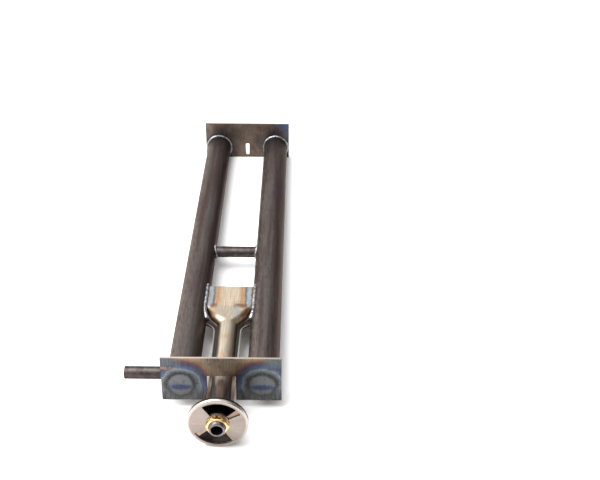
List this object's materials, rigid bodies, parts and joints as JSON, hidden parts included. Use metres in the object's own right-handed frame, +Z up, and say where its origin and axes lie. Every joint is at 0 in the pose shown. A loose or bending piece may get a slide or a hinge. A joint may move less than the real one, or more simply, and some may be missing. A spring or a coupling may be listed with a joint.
{
  "type": "gas burner assembly",
  "caption": "Welded twin-tube gas burner with a stamped venturi, adjustable air shutter, end plates, cross tube and lighter tube.",
  "frame": {"origin": "centre of the gas inlet's mouth, at the front of the orifice fitting", "axes": "+Y along the fitting, venturi and tubes, from the gas inlet to the rear plate; +Z up, out of the plates' upper edges; +X to the right seen from the inlet"},
  "size_m": [0.1551, 0.5842, 0.0629],
  "materials": {
    "tube_steel": "dark mill scale under clear lacquer, with soft brown and purple patches",
    "plate_steel": "sheet steel with blue, purple and straw heat tint round the welds",
    "venturi_steel": "stamped sheet steel, tan, with heat tint on the box",
    "bell_steel": "dark, nearly black",
    "mixer_steel": "plated, slightly coppery",
    "shutter_steel": "bright, warm grey nickel plate",
    "fitting_steel": "machined, dull grey",
    "brass": "machined",
    "weld_metal": "bright rippled weld bead"
  },
  "bodies": {
    "burner": {"left_tube": "tube_steel", "right_tube": "tube_steel", "cross_tube": "tube_steel", "lighter_tube": "tube_steel", "front_plate": "plate_steel", "rear_plate": "plate_steel", "venturi_top_half": "venturi_steel", "venturi_bottom_half": "venturi_steel", "mixer_bell": "bell_steel", "mixer_face": "mixer_steel", "orifice_spud": "fitting_steel", "gas_jet": "brass", "weld_front_left": "weld_metal", "weld_front_right": "weld_metal", "weld_rear_left": "weld_metal", "weld_rear_right": "weld_metal", "weld_cross_left": "weld_metal", "weld_cross_right": "weld_metal", "weld_lighter": "weld_metal", "weld_box_left": "weld_metal", "weld_box_right": "weld_metal"},
    "air_shutter": {"air_shutter": "shutter_steel"},
    "washer": {"spring_washer": "fitting_steel"},
    "nut": {"lock_nut": "brass"}
  },
  "joints": [
    {"name": "shutter_turn", "type": "hinge", "parent": "burner", "child": "air_shutter", "pos_m": [0, 0.0093, 0], "axis": [0, 1, 0], "continuous": true},
    {"name": "washer_follow", "type": "slide", "parent": "burner", "child": "washer", "axis": [0, -1, 0], "range_m": [0, 0.001]},
    {"name": "nut_turn", "type": "hinge", "parent": "washer", "child": "nut", "pos_m": [0, 0.0056, 0], "axis": [0, 1, 0], "range_deg": [0, 360]}
  ],
  "couplings": [
    {"joint": "washer_follow", "follows": "nut_turn", "m_per_rad": 0.00015915}
  ]
}
